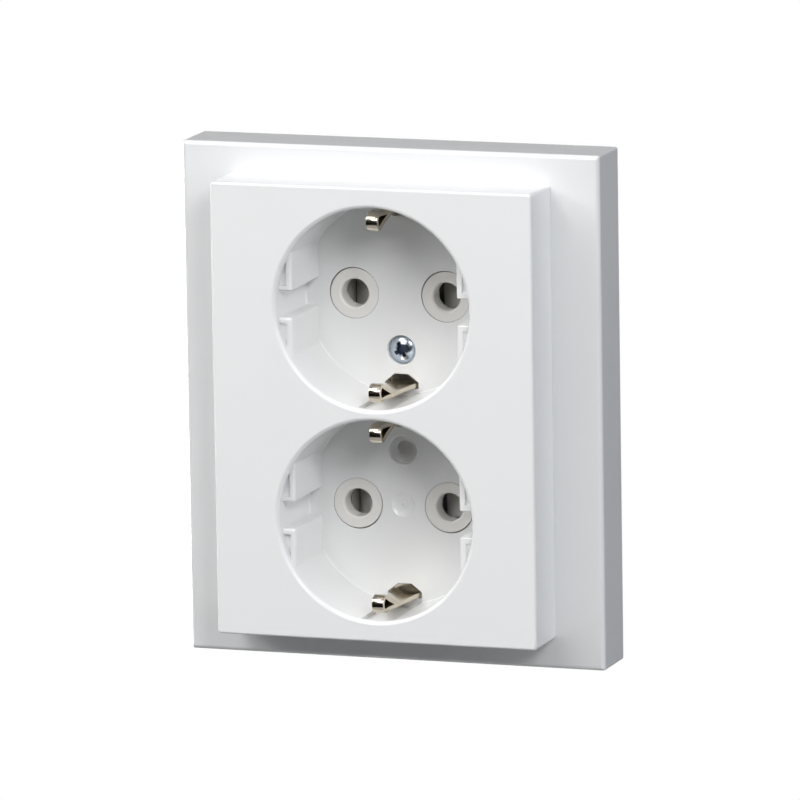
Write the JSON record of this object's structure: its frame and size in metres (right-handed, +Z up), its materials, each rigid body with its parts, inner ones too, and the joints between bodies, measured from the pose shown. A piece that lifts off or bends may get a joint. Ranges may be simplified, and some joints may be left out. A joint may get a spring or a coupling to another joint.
{
  "type": "twin earthed socket outlet",
  "caption": "White flush wall socket with two round recessed wells, sprung earth clips, shuttered pin entries, an outer frame, a support plate and push-in wire terminals behind.",
  "frame": {"origin": "on the wall plane, halfway between the two box screws and between the two wells", "axes": "+X to the right seen from the front, +Y into the wall, +Z up; the wells open towards -Y"},
  "size_m": [0.086, 0.0472, 0.102],
  "materials": {
    "white_plastic": "semi-gloss moulded white plastic",
    "ivory_plastic": "satin off-white moulded plastic",
    "dark_plastic": "matt pale grey moulded plastic",
    "grey_plastic": "satin grey moulded plastic",
    "lever_plastic": "satin orange moulded plastic",
    "nickel_plate": "bright warm nickel plate",
    "zinc_steel": "bluish zinc plate",
    "plate_steel": "zinc plated sheet steel",
    "spring_steel": "plain spring steel",
    "brass": "plain brass"
  },
  "bodies": {
    "body": {"frame": "white_plastic", "cover": "white_plastic", "cover_screw": "zinc_steel", "screw_insert": "brass", "support_plate": "plate_steel", "contact_lid": "ivory_plastic", "base": "dark_plastic", "base_screws": "zinc_steel", "shutter_spring_upper": "spring_steel", "shutter_spring_lower": "spring_steel", "earth_strip": "nickel_plate", "live_contact": "brass", "neutral_contact": "brass", "live_clamp_spring": "spring_steel", "neutral_clamp_spring": "spring_steel", "earth_clamp_spring": "spring_steel"},
    "shutter_upper": {"shutter_upper": "grey_plastic"},
    "shutter_lower": {"shutter_lower": "grey_plastic"},
    "live_release": {"live_release": "lever_plastic"},
    "neutral_release": {"neutral_release": "lever_plastic"},
    "earth_release": {"earth_release": "lever_plastic"}
  },
  "joints": [
    {"name": "shutter_upper_slide", "type": "slide", "parent": "body", "child": "shutter_upper", "axis": [1, 0, 0], "range_m": [0, 0.0054], "stiffness_N_per_m": 80, "springref_m": -0.004, "deforming": ["shutter_spring_upper"]},
    {"name": "shutter_lower_slide", "type": "slide", "parent": "body", "child": "shutter_lower", "axis": [1, 0, 0], "range_m": [0, 0.0054], "stiffness_N_per_m": 80, "springref_m": -0.004, "deforming": ["shutter_spring_lower"]},
    {"name": "live_release_push", "type": "slide", "parent": "body", "child": "live_release", "axis": [0, -1, 0], "range_m": [0, 0.0014], "stiffness_N_per_m": 900, "springref_m": -0.0005, "deforming": ["live_clamp_spring"]},
    {"name": "neutral_release_push", "type": "slide", "parent": "body", "child": "neutral_release", "axis": [0, -1, 0], "range_m": [0, 0.0014], "stiffness_N_per_m": 900, "springref_m": -0.0005, "deforming": ["neutral_clamp_spring"]},
    {"name": "earth_release_push", "type": "slide", "parent": "body", "child": "earth_release", "axis": [0, -1, 0], "range_m": [0, 0.0014], "stiffness_N_per_m": 900, "springref_m": -0.0005, "deforming": ["earth_clamp_spring"]}
  ]
}
